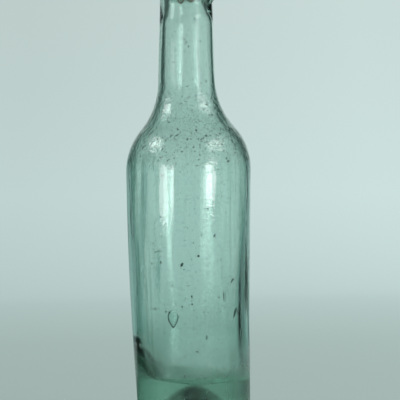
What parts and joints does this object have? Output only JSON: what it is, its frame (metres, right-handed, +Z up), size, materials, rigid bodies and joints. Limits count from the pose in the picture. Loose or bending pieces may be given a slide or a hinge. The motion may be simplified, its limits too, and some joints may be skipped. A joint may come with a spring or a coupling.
{
  "type": "glass soda bottle",
  "caption": "Hand-blown aqua glass soda bottle with a long neck, push-up base and applied lip, closed by a cork under a swinging wire bail.",
  "frame": {"origin": "centre of the base on the surface that the bottle stands on", "axes": "+Z up along the bottle's axis, the open bail leans towards +X, its hinge runs along Y, and -Y faces the viewer"},
  "size_m": [0.0644, 0.0644, 0.2429],
  "materials": {
    "aqua_glass": "hand-blown aqua glass with seeds, streaks and a slightly uneven fire-polished skin",
    "tie_wire": "soft iron wire, dark and lightly rusted",
    "cork": "natural cut cork with dark pores",
    "bail_wire": "heavy tinned iron wire, worn grey with rust in the bends"
  },
  "bodies": {
    "bottle": {"bottle_body": "aqua_glass", "applied_lip": "aqua_glass", "neck_wire": "tie_wire"},
    "cork": {"cork": "cork"},
    "bail": {"cork_bail": "bail_wire"}
  },
  "joints": [
    {"name": "cork_lift", "type": "slide", "parent": "bottle", "child": "cork", "axis": [0, 0, 1], "range_m": [0, 0.045]},
    {"name": "bail_swing", "type": "hinge", "parent": "bottle", "child": "bail", "pos_m": [0, 0, 0.22273], "axis": [0, 1, 0], "range_deg": [-50, 75]}
  ]
}
